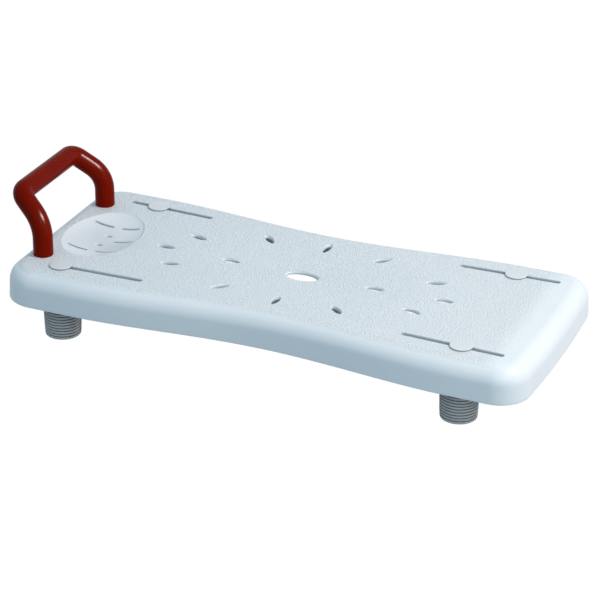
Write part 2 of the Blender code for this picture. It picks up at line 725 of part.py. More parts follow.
def seat_on(piece, name):
    """Puts a piece or its cutter on its stop's axis, turned to run along the slot."""
    piece.location = stop_places[name][0]
    piece.rotation_euler.z += stop_places[name][1]


def find_stop_places():
    """Where each stop stands on the board, and the direction of its slot."""
    places = {}
    for name, yaw, inner, length in slot_places():
        x = STOP_X[name]
        y = inner.y + (x - inner.x) * math.tan(yaw)
        places[name] = (board_point(x, y, 0), yaw)
    return places


# Materials


def material(name, colour, roughness, metallic):
    made = bpy.data.materials.new(name)
    made.use_nodes = True
    shader = made.node_tree.nodes["Principled BSDF"]
    shader.inputs["Base Color"].default_value = (*colour, 1)
    shader.inputs["Roughness"].default_value = roughness
    shader.inputs["Metallic"].default_value = metallic
    made.diffuse_color = (*colour, 1)
    return made


LOOKS = {
    "board": ((0.70, 0.76, 0.80), 0.55, 0),
    "handle": ((0.20, 0.008, 0.010), 0.22, 0),
    "handle_washer": ((0.62, 0.62, 0.62), 0.35, 1),
    "handle_screw": ((0.60, 0.60, 0.61), 0.30, 1),
    "cap": ((0.72, 0.76, 0.79), 0.40, 0),
    "stud": ((0.60, 0.60, 0.61), 0.30, 1),
    "clamp_washer": ((0.62, 0.62, 0.62), 0.35, 1),
    "core": ((0.65, 0.68, 0.70), 0.45, 0),
    "nut": ((0.58, 0.58, 0.58), 0.35, 1),
    "sleeve": ((0.22, 0.26, 0.27), 0.75, 0),
}

for old in list(bpy.data.objects):
    bpy.data.objects.remove(old)
parts = bpy.data.collections.new("bath_bench")
cutters = bpy.data.collections.new("cutters")
for collection in (parts, cutters):
    bpy.context.scene.collection.children.link(collection)

stop_places = find_stop_places()
make_board()
make_handle()
make_handle_fixing("front", -LEG_Y)
make_handle_fixing("back", LEG_Y)
for stop in stop_places:
    for make in (make_cap, make_stud, make_clamp_washer, make_core, make_nut, make_sleeve):
        seat_on(make(stop), stop)

for piece in parts.objects:
    kind = max((look for look in LOOKS if piece.name.startswith(look)), key=len)
    piece.data.materials.append(material(piece.name, *LOOKS[kind]))
cutters.hide_render = True
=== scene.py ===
"""The finished look of the bath bench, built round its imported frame.

Lengths are in metres. Positions on the board are measured from the middle of its drain holes, at
the level of its flat top, as in the part itself.
"""

import json
import math

import bmesh
import bpy
from mathutils import Matrix, Vector

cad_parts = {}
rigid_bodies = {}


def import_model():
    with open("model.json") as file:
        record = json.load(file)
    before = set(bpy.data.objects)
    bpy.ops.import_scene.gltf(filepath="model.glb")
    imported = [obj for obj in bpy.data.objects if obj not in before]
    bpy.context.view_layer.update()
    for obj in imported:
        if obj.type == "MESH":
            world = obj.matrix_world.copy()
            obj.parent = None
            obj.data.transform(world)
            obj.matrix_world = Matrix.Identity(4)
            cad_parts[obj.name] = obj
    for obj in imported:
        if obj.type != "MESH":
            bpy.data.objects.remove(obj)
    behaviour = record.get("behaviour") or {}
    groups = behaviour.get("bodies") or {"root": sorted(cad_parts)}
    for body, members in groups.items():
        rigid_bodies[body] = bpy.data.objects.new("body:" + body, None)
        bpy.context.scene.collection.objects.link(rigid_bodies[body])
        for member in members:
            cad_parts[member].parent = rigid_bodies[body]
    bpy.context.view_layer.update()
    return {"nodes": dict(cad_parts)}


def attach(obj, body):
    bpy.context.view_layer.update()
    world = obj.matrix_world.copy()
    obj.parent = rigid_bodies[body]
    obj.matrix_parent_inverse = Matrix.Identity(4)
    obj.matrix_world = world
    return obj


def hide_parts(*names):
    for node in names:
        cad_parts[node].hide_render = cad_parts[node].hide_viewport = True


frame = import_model()

MM = 0.001
GAP = 0.3 * MM
MERGE = 0.005 * MM

# Degrees between two faces from which their edge is shaded sharp
SHARP = 35
BOARD_SHARP = 28
HANDLE_SHARP = 50

# Where the middle of the drain holes lies in the bench's own frame
CENTRE = Vector((14.35 * MM, 0, 92.5 * MM))

# Board
BOARD_LEFT = -350.0 * MM
BOARD_RIGHT = 340.0 * MM
HALF_WIDTH = 149.3 * MM
WAIST_HALF_WIDTH = 130.7 * MM
WAIST_REACH = 258.0 * MM
END_CROWN = 5.8 * MM
LEFT_CORNER = 45.0 * MM
RIGHT_CORNER = 40.0 * MM
SKIRT_DEPTH = 44.0 * MM
SKIRT_DRAFT = 1.0 * MM
SKIRT_LIP = 4.0 * MM
RIM_ROUNDING = 1.4 * MM
RIM_STEPS = 4
TOP_ROUNDING = 22.0 * MM
WALL = 4.0 * MM
END_STEPS = 8
CORNER_STEPS = 14
SIDE_STEPS = 44
ROUNDING_STEPS = 12

# Seat hollow, drain holes and soap dish
SEAT_HALF_LENGTH = 192.0 * MM
SEAT_HALF_WIDTH = 115.0 * MM
SEAT_HOLLOW_DEPTH = 4.7 * MM
SEAT_RINGS = 14
DRAIN_HALF_LENGTH = 12.5 * MM
DRAIN_HALF_WIDTH = 4.8 * MM
DRAIN_ROUNDING = 3.0 * MM
DRAIN_STEPS = 36
DRAIN_MIDDLES = (
    (187.0 * MM, 0.0),
    (161.0 * MM, 42.2 * MM),
    (76.8 * MM, 74.7 * MM),
    (96.3 * MM, 0.0),
)
CROSS_DRAIN_Y = 80.2 * MM
CENTRE_HOLE_HALF_LENGTH = 22.0 * MM
CENTRE_HOLE_HALF_WIDTH = 12.0 * MM
CENTRE_HOLE_STEPS = 56
HOLE_EDGE_STEPS = 7
HOLE_EDGE_FLATTENING = 0.8
DISH_X = -276.5 * MM
DISH_HALF_LENGTH = 47.5 * MM
DISH_HALF_WIDTH = 69.0 * MM
DISH_DEPTH = 9.0 * MM
DISH_POWER = 2.8
DISH_OVERCUT = 1.06
DISH_RINGS = 14
DISH_STEPS = 96
BOWL_FIRST_RING = 3
BOWL_STEPS = 72
SLIT_WIDTH = 4.0 * MM
SLIT_END_STEPS = 8
SLIT_Y = 37.4 * MM
SLIT_SPANS = ((-309.0 * MM, -280.0 * MM), (-270.0 * MM, -243.0 * MM))
MIDDLE_SLIT_SPAN = (-263.0 * MM, -236.0 * MM)
DISH_HOLE_X = -275.8 * MM
DISH_HOLE_Y = 13.7 * MM
DISH_HOLE_SIZE = (10.5 * MM, 6.5 * MM)
DISH_HOLE_ROUNDING = 1.6 * MM
DISH_HOLE_STEPS = 32

# Under the board
RIB_THICKNESS = 2.6 * MM
RIB_DEPTH = 20.0 * MM
RIB_SINK = 2.0 * MM
LONG_RIB_Y = 57.0 * MM
CROSS_RIB_X = (42.0 * MM, 125.0 * MM)
RIB_STEPS = 20
RIB_BEND_STEPS = 6

# Slots and stops
STUD_DIAMETER = 6.0 * MM
SLOT_WIDTH = STUD_DIAMETER + 2 * GAP
SLOT_EASE = 0.6 * MM
SLOT_EASE_STEPS = 5
SLOT_END_STEPS = 10
SLOT_YAW = math.radians(2.0)
SLOT_INNER_X = 170.5 * MM
SLOT_EDGE_DISTANCE = 47.6 * MM
SLOT_OUTER_X = {"left": 289.8 * MM, "right": 301.1 * MM}
RAIL_THICKNESS = 4.0 * MM
RAIL_DEPTH = 24.0 * MM
STOP_X = {
    "front_left": -280.9 * MM,
    "back_left": -248.5 * MM,
    "front_right": 247.8 * MM,
    "back_right": 244.7 * MM,
}
CAP_DIAMETER = 28.4 * MM
CAP_RIM = 2.0 * MM
CAP_DOME = 0.2 * MM
CAP_EDGE = 0.45 * MM
CAP_UNDERCUT = 0.35 * MM
CAP_DOME_REACH = 0.9
CAP_DOME_STEPS = 8
CAP_EDGE_STEPS = 5
CAP_STEPS = 64
KEY_REACH = 7.0 * MM
KEY_DEPTH = 3.5 * MM
KEY_END_STEPS = 8
SEAT_HEIGHT = 92.5 * MM
HUB_DIAMETER = 25.0 * MM
PAD_THICKNESS = 4.2 * MM
SLEEVE_TOP = -29.1 * MM
RIB_PITCH = 4.0 * MM
GROOVE_DEPTH = 1.5 * MM
GROOVE_SHARE = 0.22
GROOVE_COUNT = 14
GROOVE_STEPS = 8
SLEEVE_BOTTOM_DIAMETER = 45.1 * MM
SLEEVE_LOW_DIAMETER = 46.5 * MM
SLEEVE_TOP_DIAMETER = 48.4 * MM
SLEEVE_LOW_HEIGHT = 12.0 * MM
SLEEVE_EDGE = 1.5 * MM
SLEEVE_EDGE_STEPS = 4
SLEEVE_STEPS = 72

# Grab handle
HANDLE_DIAMETER = 25.5 * MM
GRIP_DIAMETER = 26.2 * MM
LEG_X = -317.5 * MM
LEG_Y = 83.8 * MM
LEG_BEND_Z = 42.0 * MM
LEG_BEND_RADIUS = 40.0 * MM
GRIP_X = -355.2 * MM
GRIP_Y = 68.7 * MM
GRIP_Z = 71.2 * MM
GRIP_BEND_RADIUS = 16.0 * MM
BEND_STEPS = 36
TUBE_RESOLUTION = 38
TENON_DIAMETER = 18.0 * MM
TENON_LENGTH = 17.0 * MM
SOCKET_WALL = 3.5 * MM
SOCKET_FLOOR = 3.0 * MM
SOCKET_STEPS = 40
SCREW_DIAMETER = 4.5 * MM

# Camera: the photograph's own view, in the board's frame
IMAGE_HEIGHT = 615
FOCAL_PIXELS = 2414.4
SENSOR = 36.0
CAMERA_PLACE = Vector((1052.4 * MM, -2480.6 * MM, 1302.9 * MM))
CAMERA_AZIMUTH = math.radians(22.884)
CAMERA_ELEVATION = math.radians(26.627)
CAMERA_ROLL = math.radians(0.666)
CAMERA_REACH = 50

# Light and floor
KEY_COLOUR = (1.0, 0.86, 0.77)
FRONT_COLOUR = (0.86, 0.95, 1.0)
SIDE_COLOUR = (1.0, 0.92, 0.88)
GLINT_COLOUR = (1.0, 0.95, 0.92)
FILL_COLOUR = (0.635, 0.855, 1.0)
FILL_STRENGTH = 0.585
FLOOR_HALF_SIZE = 6
FLOOR_COLOUR = (0.24, 0.30, 0.34)
FLOOR_GLOW = 1.08
FLOOR_GLOW_SHARE = 0.92

# Colours
BOARD_PALE = (0.822, 0.855, 0.876)
BOARD_DEEP = (0.797, 0.835, 0.861)
CAP_PALE = (0.740, 0.760, 0.772)
CAP_DEEP = (0.715, 0.735, 0.747)
CORE_PALE = (0.63, 0.66, 0.68)
CORE_DEEP = (0.56, 0.60, 0.62)
# Painted shade on the slots' walls just below the top
SLOT_PAINTED_SHADE = (0.600, 0.640, 0.660)
# Painted shade at the foot of the caps' rims
RIM_PAINTED_SHADE = (0.300, 0.320, 0.330)
HANDLE_RED = (0.184, 0.006, 0.0)
HANDLE_DEEP = (0.158, 0.004, 0.0)
# The rubber's grey on the crests of its ribs, and the painted shade in its grooves
RUBBER_CREST = (0.590, 0.586, 0.578)
RUBBER_GROOVE_SHADE = (0.073, 0.077, 0.080)
STEEL_PALE = (0.66, 0.66, 0.67)
STEEL_DEEP = (0.50, 0.50, 0.51)

# Roughness: the board's, and what its grain adds and its dish takes away
BOARD_ROUGHNESS = 0.42
GRAIN_DULLING = 0.14
DISH_POLISH = 0.13

# Roughness of the others, from their smoothest spots to their dullest
HANDLE_ROUGHNESS = (0.20, 0.24)
CAP_ROUGHNESS = (0.34, 0.46)
RUBBER_ROUGHNESS = (0.58, 0.72)
CORE_ROUGHNESS = (0.42, 0.54)
STEEL_ROUGHNESS = (0.24, 0.40)

# The board's grain: pebbles, what is finer, and faint waves under both
PEBBLES_PER_METRE = 510
PEBBLE_SHARE = 0.7
FINE_SHARE = 0.5
WAVE_SHARE = 0.05
GRAIN_HEIGHT = 1.65 * MM

# Where the grain fades out: as a face turns away from straight up, and towards the right end
FLAT_NORMAL_Z = (0.86, 0.99)
GRAIN_FADE_X = (278.0 * MM, 314.0 * MM)

# Where the dish's gloss fades out, by the square of the distance from its middle: its rim is at 1
DISH_FADE = (0.92, 1.04)

# Heights between which the painted shade in the slots and at the foot of the caps' rims fades out
SLOT_SHADE_Z = (-2.5 * MM, -0.3 * MM)
RIM_SHADE_Z = (1.3 * MM, 2.0 * MM)

# Painted shade on the rubber, darkest in the grooves, by the distance from a groove as a share of
# the ribs' pitch
GROOVE_EDGE = (0.06, 0.24)
RIB_SHADE_RANGE = (0.1, 0.75)
GROOVE_SHADE_LIMITS = (0.15, 0.95)

# Most of a noise's values lie between these
NOISE_LOW = 0.3
NOISE_HIGH = 0.7


def board_point(x, y, z):
    """A position on the board, in the bench's own frame."""
    return CENTRE + Vector((x, y, z))


def arc(start, end, steps):
    """Evenly spaced values from one to another, both ends included."""
    return [start + (end - start) * step / steps for step in range(steps + 1)]


cutters = bpy.data.collections.new("cutters")
joiners = bpy.data.collections.new("joiners")
pieces = bpy.data.collections.new("pieces")
glossy_pieces = bpy.data.collections.new("glossy_pieces")
for collection in (cutters, joiners, pieces, glossy_pieces):
    bpy.context.scene.collection.children.link(collection)


def new_object(name, data, collection):
    made = bpy.data.objects.new(name, data)
    collection.objects.link(made)
    return made


def finish_mesh(source, sharp=SHARP):
    """Makes an object's modifiers real, and shades it smooth up to an angle in degrees."""
    depsgraph = bpy.context.evaluated_depsgraph_get()
    mesh = bpy.data.meshes.new_from_object(source.evaluated_get(depsgraph))
    work = bmesh.new()
    work.from_mesh(mesh)
    bmesh.ops.remove_doubles(work, verts=work.verts, dist=MERGE)
    work.to_mesh(mesh)
    work.free()
    mesh.shade_smooth()
    mesh.set_sharp_from_angle(angle=math.radians(sharp))
    source.modifiers.clear()
    source.data = mesh
    return source


def turned(name, profile, steps, collection, ratio=1):
    """A shape turned round Z from radius and height pairs that run down its outer side."""
    last = len(profile) - 1
    edges = [(step, step + 1) for step in range(last)]
    if profile[0][0] > 0 and profile[last][0] > 0:
        edges.append((last, 0))
    mesh = bpy.data.meshes.new(name)
    mesh.from_pydata([(radius, 0, height) for radius, height in profile], edges, [])
    made = new_object(name, mesh, collection)
    screw = made.modifiers.new("turn", "SCREW")
    screw.steps = steps
    screw.render_steps = steps
    screw.use_merge_vertices = True
    screw.merge_threshold = MERGE
    finish_mesh(made)
    made.data.transform(Matrix.Diagonal((1, ratio, 1, 1)))
    return made


def lofted(name, rings, collection):
    """A closed solid through rings of points, from the lowest ring to the highest."""
    work = bmesh.new()
    loops = [[work.verts.new(point) for point in ring] for ring in rings]
    count = len(loops[0])
    for low, high in zip(loops, loops[1:]):
        for step in range(count):
            after = (step + 1) % count
            work.faces.new((low[step], low[after], high[after], high[step]))
    work.faces.new(list(reversed(loops[0])))
    work.faces.new(loops[-1])
    bmesh.ops.recalc_face_normals(work, faces=work.faces)
    mesh = bpy.data.meshes.new(name)
    work.to_mesh(mesh)
    work.free()
    return new_object(name, mesh, collection)


def stadium(start, end, radius, steps):
    """A straight slot's outline, with round ends whose extreme points lie at start and end."""
    outline = []
    for tip, turn in ((end, -math.pi / 2), (start, math.pi / 2)):
        middle = tip - radius if turn < 0 else tip + radius
        for angle in arc(turn, turn + math.pi, steps):
            outline.append((middle + radius * math.cos(angle), radius * math.sin(angle)))
    return outline


def at_height(outline, height):
    return [(x, y, height) for x, y in outline]


# Board


def half_width(x):
    """Half of the board's width at x: it narrows smoothly to the waist."""
    if abs(x) > WAIST_REACH:
        return HALF_WIDTH
    swell = (1 + math.cos(math.pi * x / WAIST_REACH)) / 2
    return HALF_WIDTH - (HALF_WIDTH - WAIST_HALF_WIDTH) * swell


def side_slope(x):
    if abs(x) > WAIST_REACH:
        return 0.0
    wave = math.pi / WAIST_REACH
    return (HALF_WIDTH - WAIST_HALF_WIDTH) * wave * math.sin(wave * x) / 2


def end_circle():
    """The radius that crowns the right end."""
    return (HALF_WIDTH**2 + END_CROWN**2) / (2 * END_CROWN)


def right_end(y):
    """Where the crowned right end lies at y."""
    return BOARD_RIGHT - end_circle() + math.sqrt(end_circle() ** 2 - y**2)


def half_outline():
    """Points and outward directions round the back half of the board, right end to left."""
    end_radius = end_circle()
    end_middle = BOARD_RIGHT - end_radius
    corner_y = HALF_WIDTH - RIGHT_CORNER
    corner_reach = math.sqrt((end_radius - RIGHT_CORNER) ** 2 - corner_y**2)
    right_x = end_middle + corner_reach
    swing = math.atan2(corner_y, corner_reach)
    left_x = BOARD_LEFT + LEFT_CORNER
    left_y = HALF_WIDTH - LEFT_CORNER
    rows = []
    for angle in arc(0, swing, END_STEPS)[:-1]:
        outward = Vector((math.cos(angle), math.sin(angle)))
        rows.append((Vector((end_middle, 0)) + end_radius * outward, outward))
    for angle in arc(swing, math.pi / 2, CORNER_STEPS)[:-1]:
        outward = Vector((math.cos(angle), math.sin(angle)))
        rows.append((Vector((right_x, corner_y)) + RIGHT_CORNER * outward, outward))
    for x in arc(right_x, left_x, SIDE_STEPS)[:-1]:
        rows.append((Vector((x, half_width(x))), Vector((-side_slope(x), 1)).normalized()))
    for angle in arc(math.pi / 2, math.pi, CORNER_STEPS)[:-1]:
        outward = Vector((math.cos(angle), math.sin(angle)))
        rows.append((Vector((left_x, left_y)) + LEFT_CORNER * outward, outward))
    for y in arc(left_y, 0, END_STEPS):
        rows.append((Vector((BOARD_LEFT, y)), Vector((-1, 0))))
    return rows


def top_height(x, y):
    """Height of the top surface: flat, with the shallow oval seat hollow."""
    share = math.hypot(x / SEAT_HALF_LENGTH, y / SEAT_HALF_WIDTH)
    if share >= 1:
        return 0.0
    return -SEAT_HOLLOW_DEPTH * (1 + math.cos(math.pi * share)) / 2


def skin_height(x, y):
    """Height of the board's skin, with its rounded edge."""
    inset = min(half_width(x) - abs(y), right_end(y) - x, x - BOARD_LEFT)
    short = max(SKIRT_DRAFT + TOP_ROUNDING - inset, 0)
    return top_height(x, y) - TOP_ROUNDING + math.sqrt(TOP_ROUNDING**2 - short**2)


def board_rings():
    """Rings of points from the skirt's lower edge, over the rounded edge, in to the seat."""
    outline = half_outline()
    rows = [(0.0, -SKIRT_DEPTH), (0.0, -SKIRT_DEPTH + SKIRT_LIP)]
    for angle in arc(0, math.pi / 2, ROUNDING_STEPS):
        inset = SKIRT_DRAFT + TOP_ROUNDING * (1 - math.cos(angle))
        rows.append((inset, -TOP_ROUNDING * (1 - math.sin(angle))))
    rings = []
    for inset, height in rows:
        edge = [point - inset * outward for point, outward in outline]
        rings.append([(point.x, max(point.y, 0.0), height) for point in edge])
    flat_edge = rings[-1]
    for share in arc(1, 0, SEAT_RINGS)[1:-1]:
        ring = [(x * share, y * share) for x, y, height in flat_edge]
        rings.append([(x, y, top_height(x, y)) for x, y in ring])
    return rings


def board_shell():
    work = bmesh.new()
    rings = [[work.verts.new(point) for point in ring] for ring in board_rings()]
    for outer, inner in zip(rings, rings[1:]):
        for step in range(len(outer) - 1):
            work.faces.new((outer[step], outer[step + 1], inner[step + 1], inner[step]))
    middle = work.verts.new((0, 0, top_height(0, 0)))
    for step in range(len(rings[-1]) - 1):
        work.faces.new((rings[-1][step], rings[-1][step + 1], middle))
    mesh = bpy.data.meshes.new("board_skin")
    work.to_mesh(mesh)
    work.free()
    made = new_object("board_skin", mesh, pieces)
    made.location = CENTRE
    mirror = made.modifiers.new("mirror", "MIRROR")
    mirror.use_axis = (False, True, False)
    mirror.merge_threshold = MERGE
    shell = made.modifiers.new("wall", "SOLIDIFY")
    shell.thickness = WALL
    shell.use_even_offset = True
    finish_mesh(made)
    round_rim(made.data)
    return made


def round_rim(mesh):
    """Rounds both corners of the skirt's lower edge."""
    work = bmesh.new()
    work.from_mesh(mesh)
    rim = []
    for edge in work.edges:
        low = all(point.co.z < -SKIRT_DEPTH + MERGE for point in edge.verts)
        if low and edge.calc_face_angle() > math.radians(45):
            rim.append(edge)
    bmesh.ops.bevel(
        work, geom=rim, offset=RIM_ROUNDING, segments=RIM_STEPS, profile=0.5, affect="EDGES"
    )
    work.to_mesh(mesh)
    work.free()


def place(piece, x, y, z, yaw=0.0):
    piece.matrix_world = Matrix.Translation(board_point(x, y, z)) @ Matrix.Rotation(yaw, 4, "Z")
    return piece


def slot_places():
    """Each slot's name, the direction it runs from the middle outwards, and its inner end."""
    inner_y = HALF_WIDTH - SLOT_EDGE_DISTANCE
    for side, across in (("front", -1), ("back", 1)):
        for end, along in (("left", -1), ("right", 1)):
            yaw = math.atan2(across * math.sin(SLOT_YAW), along * math.cos(SLOT_YAW))
            length = (SLOT_OUTER_X[end] - SLOT_INNER_X) / math.cos(SLOT_YAW)
            yield side + "_" + end, yaw, along * SLOT_INNER_X, across * inner_y, length


def slot_outline(length, margin):
    """A slot's outline, wider all round by a margin."""
    return stadium(-margin, length + margin, SLOT_WIDTH / 2 + margin, SLOT_END_STEPS)


def shape_slots():
    for name, yaw, x, y, length in slot_places():
        wall = slot_outline(length, RAIL_THICKNESS)
        rings = [at_height(wall, -RAIL_DEPTH), at_height(wall, -WALL / 2)]
        place(lofted("rail_" + name, rings, joiners), x, y, 0, yaw)
        rings = [at_height(slot_outline(length, 0), -2 * RAIL_DEPTH)]
        for angle in arc(math.pi / 2, 0, SLOT_EASE_STEPS):
            outline = slot_outline(length, SLOT_EASE * (1 - math.sin(angle)))
            rings.append(at_height(outline, -SLOT_EASE * (1 - math.cos(angle))))
        rings.append(at_height(outline, WALL))
        place(lofted("slot_" + name, rings, cutters), x, y, 0, yaw)


def rib(name, start, end):
    """A stiffening rib whose top edge follows the skin, between two points in plan."""
    along = Vector(end) - Vector(start)
    bend = [TOP_ROUNDING * (1 - math.cos(angle)) for angle in arc(0, math.pi / 2, RIB_BEND_STEPS)]
    middle = arc(bend[-1], along.length - bend[-1], RIB_STEPS)[1:-1]
    outline = []
    for distance in bend + middle + [along.length - reach for reach in reversed(bend)]:
        point = Vector(start) + along.normalized() * distance
        outline.append((distance, skin_height(point.x, point.y) - RIB_SINK))
    outline += [(along.length, -RIB_DEPTH), (0, -RIB_DEPTH)]
    half = RIB_THICKNESS / 2
    made = lofted(name, [[(x, side, z) for x, z in outline] for side in (-half, half)], joiners)
    place(made, start[0], start[1], 0, math.atan2(along.y, along.x))


def shape_ribs():
    edge = SKIRT_DRAFT + WALL / 2
    for distance in CROSS_RIB_X:
        for name, x in (("left", -distance), ("right", distance)):
            y = half_width(x) - edge
            rib("cross_rib_%s_%d" % (name, round(distance / MM)), (x, -y), (x, y))
    dish_share = LONG_RIB_Y / DISH_HALF_WIDTH
    dish_end = DISH_X + DISH_HALF_LENGTH * math.sqrt(1 - dish_share**2)
    for name, y in (("front", -LONG_RIB_Y), ("back", LONG_RIB_Y)):
        rib("long_rib_" + name, (dish_end, y), (right_end(y) - edge, y))


def cut_hole(name, half_length, half_width, rounding, steps, spot, yaw=0.0):
    """An oval hole: open above, rounded at the surface, straight through the wall."""
    throat = half_length - rounding / 2
    rows = [(0, 2 * WALL), (throat + rounding, 2 * WALL)]
    for angle in arc(0, math.pi / 2, HOLE_EDGE_STEPS):
        radius = throat + rounding * (1 - math.sin(angle))
        rows.append((radius, -rounding * (1 - math.cos(angle)) * HOLE_EDGE_FLATTENING))
    rows += [(throat, -3 * WALL), (0, -3 * WALL)]
    place(turned(name, rows, steps, cutters, half_width / half_length), *spot, yaw)


def shape_drain_holes():
    places = [(0, CROSS_DRAIN_Y), (0, -CROSS_DRAIN_Y)]
    for x, y in DRAIN_MIDDLES:
        for along in (-1, 1):
            for across in (-1, 1) if y else (1,):
                places.append((along * x, across * y))
    drain = (DRAIN_HALF_LENGTH, DRAIN_HALF_WIDTH, DRAIN_ROUNDING, DRAIN_STEPS)
    for count, (x, y) in enumerate(places):
        cut_hole("drain_%d" % count, *drain, (x, y, top_height(x, y)), math.atan2(y, x))
    middle = (CENTRE_HOLE_HALF_LENGTH, CENTRE_HOLE_HALF_WIDTH, DRAIN_ROUNDING, CENTRE_HOLE_STEPS)
    cut_hole("centre_hole", *middle, (0, 0, top_height(0, 0)))


def shape_soap_dish():
    ratio = DISH_HALF_WIDTH / DISH_HALF_LENGTH
    shares = [DISH_OVERCUT * math.cos(angle) for angle in arc(0, math.pi / 2, DISH_RINGS)][:-1]
    hollow = [(DISH_HALF_LENGTH * share, -DISH_DEPTH * (1 - share**DISH_POWER)) for share in shares]
    bowl = [(radius + WALL, height - WALL) for radius, height in hollow[BOWL_FIRST_RING:]]
    floor = -DISH_DEPTH - WALL
    bowl = [(0, -WALL / 2), (DISH_HALF_LENGTH + WALL, -WALL / 2)] + bowl + [(0, floor)]
    place(turned("dish_bowl", bowl, BOWL_STEPS, joiners, ratio), DISH_X, 0, 0)
    hollow = [(0, hollow[0][1])] + hollow + [(0, -DISH_DEPTH)]
    place(turned("dish_hollow", hollow, DISH_STEPS, cutters, ratio), DISH_X, 0, 0)
    slits = [(span, y) for span in SLIT_SPANS for y in (-SLIT_Y, SLIT_Y)] + [(MIDDLE_SLIT_SPAN, 0)]
    for count, ((start, end), y) in enumerate(slits):
        outline = stadium(start, end, SLIT_WIDTH / 2, SLIT_END_STEPS)
        rings = [at_height(outline, floor - WALL), at_height(outline, WALL)]
        place(lofted("slit_%d" % count, rings, cutters), 0, y, 0)
    length, width = DISH_HOLE_SIZE
    hole = (length / 2, width / 2, DISH_HOLE_ROUNDING, DISH_HOLE_STEPS)
    for name, y in (("front", -DISH_HOLE_Y), ("back", DISH_HOLE_Y)):
        cut_hole("dish_hole_" + name, *hole, (DISH_HOLE_X, y, -DISH_DEPTH))


def shape_handle_sockets():
    bore = TENON_DIAMETER / 2 + GAP
    floor_top = -(TENON_LENGTH + GAP)
    floor_bottom = floor_top - SOCKET_FLOOR
    screw_bore = SCREW_DIAMETER / 2 + GAP
    socket = [(0, -WALL / 2), (bore + SOCKET_WALL, -WALL / 2)]
    socket += [(bore + SOCKET_WALL, floor_bottom), (0, floor_bottom)]
    hole = [(0, WALL), (bore, WALL), (bore, floor_top), (screw_bore, floor_top)]
    hole += [(screw_bore, floor_bottom - WALL), (0, floor_bottom - WALL)]
    for name, y in (("front", -LEG_Y), ("back", LEG_Y)):
        place(turned("socket_" + name, socket, SOCKET_STEPS, joiners), LEG_X, y, 0)
        place(turned("socket_bore_" + name, hole, SOCKET_STEPS, cutters), LEG_X, y, 0)


def make_board():
    board = board_shell()
    shape_ribs()
    shape_handle_sockets()
    shape_slots()
    shape_soap_dish()
    shape_drain_holes()
    for name, collection, operation in (("join", joiners, "UNION"), ("cut", cutters, "DIFFERENCE")):
        change = board.modifiers.new(name, "BOOLEAN")
        change.operand_type = "COLLECTION"
        change.collection = collection
        change.operation = operation
        change.solver = "EXACT"
    finish_mesh(board, BOARD_SHARP)
    even = board.modifiers.new("even shading", "WEIGHTED_NORMAL")
    even.mode = "FACE_AREA"
    even.keep_sharp = True
    for collection in (joiners, cutters):
        for tool in list(collection.objects):
            bpy.data.objects.remove(tool)
    return board


# Grab handle


def rounded_path(corners, radii):
    """Points along straight runs, with an arc of its own radius at each inner corner."""
    points = [corners[0]]
    for before, corner, after, radius in zip(corners, corners[1:], corners[2:], radii):
        back = (before - corner).normalized()
        ahead = (after - corner).normalized()
        half = back.angle(ahead) / 2
        middle = corner + (back + ahead).normalized() * radius / math.sin(half)
        start = (corner + back * radius / math.tan(half) - middle).normalized()
        end = (corner + ahead * radius / math.tan(half) - middle).normalized()
        for share in arc(0, 1, BEND_STEPS):
            points.append(middle + start.slerp(end, share) * radius)
    return points + [corners[-1]]


def make_handle():
    """A bent tube whose legs stand on the board and whose grip is slightly thicker."""
    half = [(LEG_X, LEG_Y, GAP), (LEG_X, LEG_Y, LEG_BEND_Z), (GRIP_X, GRIP_Y, GRIP_Z)]
    corners = [Vector(point) for point in half]
    corners += [Vector((x, -y, z)) for x, y, z in reversed(half)]
    radii = (LEG_BEND_RADIUS, GRIP_BEND_RADIUS, GRIP_BEND_RADIUS, LEG_BEND_RADIUS)
    points = rounded_path(corners, radii)
    curve = bpy.data.curves.new("grab_handle", "CURVE")
    curve.dimensions = "3D"
    curve.bevel_depth = HANDLE_DIAMETER / 2
    curve.bevel_resolution = TUBE_RESOLUTION
    curve.use_fill_caps = True
    spline = curve.splines.new("POLY")
    spline.points.add(len(points) - 1)
    swell = GRIP_DIAMETER / HANDLE_DIAMETER - 1
    leg_points = BEND_STEPS + 2
    for count, (point, spot) in enumerate(zip(spline.points, points)):
        from_end = min(count, len(points) - 1 - count)
        share = min(max((from_end - leg_points) / BEND_STEPS, 0), 1)
        point.co = (*spot, 1)
        point.radius = 1 + swell * share
    path = new_object("grab_handle", curve, pieces)
    depsgraph = bpy.context.evaluated_depsgraph_get()
    mesh = bpy.data.meshes.new_from_object(path.evaluated_get(depsgraph))
    bpy.data.objects.remove(path)
    handle = new_object("grab_handle_skin", mesh, glossy_pieces)
    finish_mesh(handle, HANDLE_SHARP)
    handle.location = CENTRE
    return handle


# Stops


def make_cap(name):
    """A flat round cap with an eased rim, and below it the keys that run in the slot."""
    radius = CAP_DIAMETER / 2
    rim_top = GAP + CAP_RIM
    profile = []
    for share in arc(0, CAP_DOME_REACH, CAP_DOME_STEPS):
        profile.append((radius * share, rim_top + CAP_DOME * (1 - share**2)))
    flat = radius - CAP_EDGE
    edge_top = rim_top + CAP_DOME * (1 - (flat / radius) ** 2)
    for angle in arc(0, math.pi / 2, CAP_EDGE_STEPS):
        height = edge_top - CAP_EDGE * (1 - math.cos(angle))
        profile.append((flat + CAP_EDGE * math.sin(angle), height))
    profile += [(radius, GAP + CAP_UNDERCUT), (radius - CAP_UNDERCUT, GAP), (0, GAP)]
    cap = turned("cap_%s_skin" % name, profile, CAP_STEPS, pieces)
    half_key = SLOT_WIDTH / 2 - GAP
    key = stadium(-KEY_REACH, KEY_REACH, half_key, KEY_END_STEPS)
    keys = lofted("keys", [at_height(key, -KEY_DEPTH), at_height(key, 2 * GAP)], pieces)
    join = bmesh.new()
    join.from_mesh(cap.data)
    join.from_mesh(keys.data)
    join.to_mesh(cap.data)
    join.free()
    bpy.data.objects.remove(keys)
    cap.data.shade_smooth()
    cap.data.set_sharp_from_angle(angle=math.radians(SHARP))
    return cap


